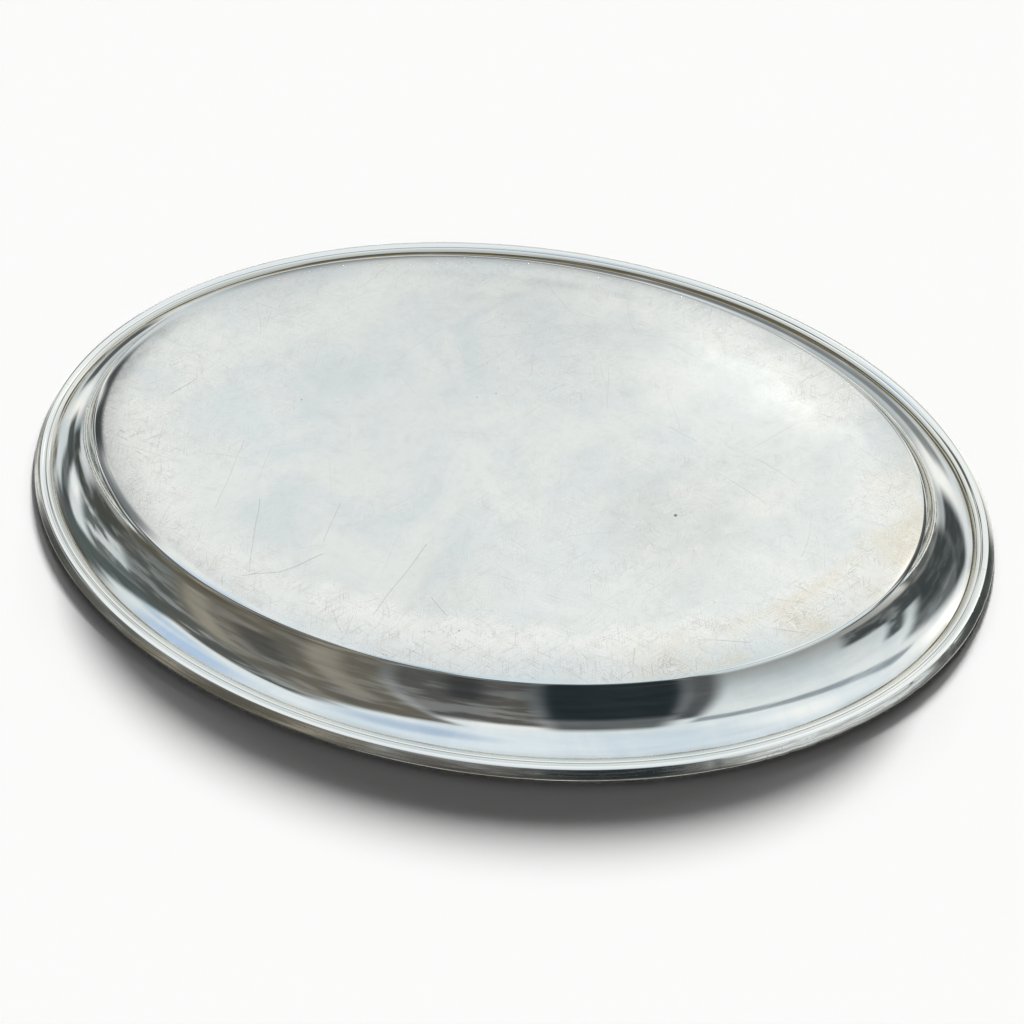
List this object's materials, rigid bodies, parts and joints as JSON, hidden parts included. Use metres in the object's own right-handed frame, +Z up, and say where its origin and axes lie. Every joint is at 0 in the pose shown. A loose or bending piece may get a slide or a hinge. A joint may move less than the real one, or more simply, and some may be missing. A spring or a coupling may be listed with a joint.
{
  "type": "oval serving platter",
  "caption": "Oval serving platter of silver-plated sheet, lying face down: flat base up, hollow-curved wall and short flange held in a soldered reeded border moulding.",
  "frame": {"origin": "on the table, under the middle of the oval, with the platter lying face down on its border as pictured", "axes": "+X along the long axis of the oval, +Y along the short axis, +Z up out of the underside of the base; in use the platter is turned over about X and stands on that face"},
  "size_m": [0.4, 0.281, 0.021],
  "materials": {
    "dish_plate": "silver plate on nickel silver, polished wall and flange, base dulled by fine scratches",
    "border_plate": "silver plate on nickel silver, bright polished, rubbed along the outer edge",
    "solder": "silver solder with golden-brown tarnish"
  },
  "bodies": {
    "root": {"dish": "dish_plate", "border_front": "border_plate", "border_back": "border_plate", "seam_solder_under": "solder", "seam_solder_face": "solder", "butt_solder_left": "solder", "butt_solder_right": "solder"}
  },
  "joints": []
}
